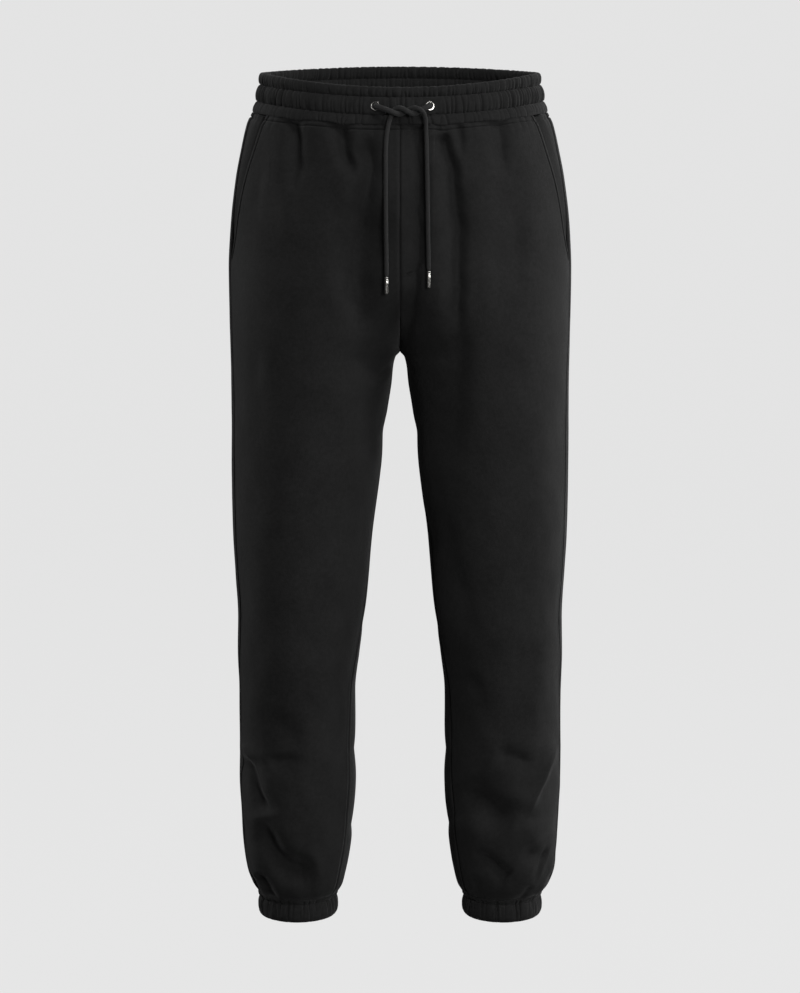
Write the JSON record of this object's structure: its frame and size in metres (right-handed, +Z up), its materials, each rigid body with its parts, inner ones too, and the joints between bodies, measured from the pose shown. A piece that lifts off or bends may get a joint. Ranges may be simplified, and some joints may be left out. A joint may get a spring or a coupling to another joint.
{
  "type": "jogger sweatpants",
  "caption": "Black brushed-fleece jogger sweatpants in their worn, hollow form, with an elasticated waistband, half-knotted drawcord, slanted pockets, mock fly and elasticated cuffs.",
  "frame": {"origin": "centre of the waist, halfway up the waistband at the sides, where the wearer holds the garment up", "axes": "+Z up along the body, -Y towards the wearer's front, +X towards the wearer's left"},
  "size_m": [0.4082, 0.2832, 1.0273],
  "materials": {
    "fleece": "black brushed-back cotton fleece, matt with a short nap",
    "cord": "black round knitted cotton cord, matt",
    "nickel": "bright nickel plate"
  },
  "bodies": {
    "root": {"waistband": "fleece", "front_left": "fleece", "front_right": "fleece", "back_left": "fleece", "back_right": "fleece", "pocket_facing_left": "fleece", "pocket_facing_right": "fleece", "mock_fly": "fleece", "cuff_left": "fleece", "cuff_right": "fleece", "eyelet_left": "nickel", "eyelet_right": "nickel", "drawcord_left": "cord", "drawcord_right": "cord", "cord_tip_left": "nickel", "cord_tip_right": "nickel"}
  },
  "joints": []
}
